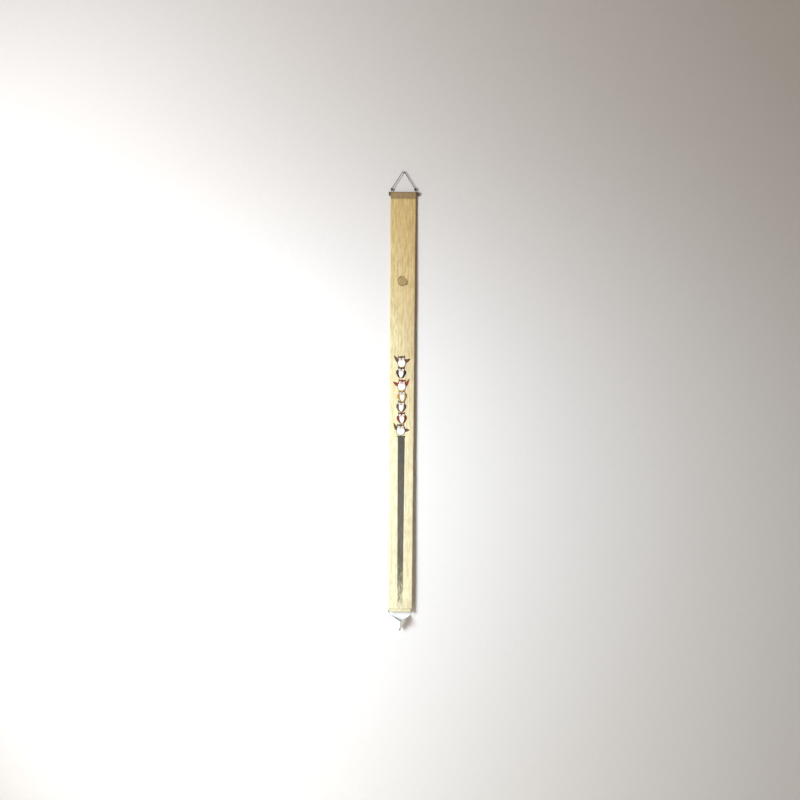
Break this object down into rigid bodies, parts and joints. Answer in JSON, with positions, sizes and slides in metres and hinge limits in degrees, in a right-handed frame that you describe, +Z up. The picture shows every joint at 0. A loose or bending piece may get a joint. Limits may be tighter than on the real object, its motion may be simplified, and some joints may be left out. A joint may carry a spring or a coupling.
{
  "type": "narrow cloth wall hanging",
  "caption": "Very long narrow linen wall hanging on a round rod with a cord triangle, with a hollow pointed ceramic weight slung under its hem.",
  "frame": {"origin": "where the hanging cord rests on its nail, inside the top of the cord triangle", "axes": "+Z up, the painted front faces -Y, the wall is towards +Y, +X along the rod"},
  "size_m": [0.1148, 0.063, 1.8614],
  "materials": {
    "black_cord": "twisted black cord, matte",
    "black_steel": "blackened steel wire",
    "dark_wood": "dark stained wood, satin",
    "linen": "undyed golden linen with vertical slubs",
    "thread": "matte sewing thread",
    "bottom_rod_wood": "dark stained wood, satin",
    "twine": "waxed brown twine",
    "white_ceramic": "white glaze",
    "dark_steel": "dark oiled steel",
    "nut_steel": "plain steel",
    "paint": "brushed pigment on cloth"
  },
  "bodies": {
    "hanger": {"hanging_cord": "black_cord", "cord_knot_left": "black_cord", "cord_knot_right": "black_cord"},
    "top_bar": {"top_rod": "dark_wood", "screw_eye_left": "black_steel", "screw_eye_right": "black_steel", "top_casing": "linen", "top_casing_stitches": "thread"},
    "cloth_top": {"cloth_upper": "linen"},
    "cloth_bottom": {"cloth_lower": "linen", "bottom_casing": "linen", "bottom_casing_stitches": "thread"},
    "hem_rod": {"bottom_rod": "bottom_rod_wood"},
    "links": {"link_loop_left": "twine", "link_loop_right": "twine", "link_cord_left": "twine", "link_cord_right": "twine", "link_stop_left": "twine", "link_stop_right": "twine"},
    "weight": {"weight_shell": "white_ceramic", "steel_point": "dark_steel", "point_nut": "nut_steel"}
  },
  "joints": [
    {"name": "bar_tilt", "type": "hinge", "parent": "hanger", "child": "top_bar", "pos_m": [0, 0, -0.0721], "axis": [-1, 0, 0], "range_deg": [0, 20]},
    {"name": "cloth_swing", "type": "hinge", "parent": "top_bar", "child": "cloth_top", "pos_m": [0, -0.0006, -0.1002], "axis": [-1, 0, 0], "range_deg": [0, 30]},
    {"name": "cloth_fold", "type": "hinge", "parent": "cloth_top", "child": "cloth_bottom", "pos_m": [0, -0.0006, -1.16], "axis": [-1, 0, 0], "range_deg": [0, 150]},
    {"name": "bottom_rod_turn", "type": "hinge", "parent": "cloth_bottom", "child": "hem_rod", "pos_m": [0, 0, -1.7715], "axis": [1, 0, 0], "continuous": true},
    {"name": "link_swing", "type": "hinge", "parent": "cloth_bottom", "child": "links", "pos_m": [0, 0, -1.7715], "axis": [-1, 0, 0], "range_deg": [0, 40]},
    {"name": "weight_tilt", "type": "hinge", "parent": "links", "child": "weight", "pos_m": [0, 0, -1.805], "axis": [-1, 0, 0], "range_deg": [-25, 30]}
  ]
}
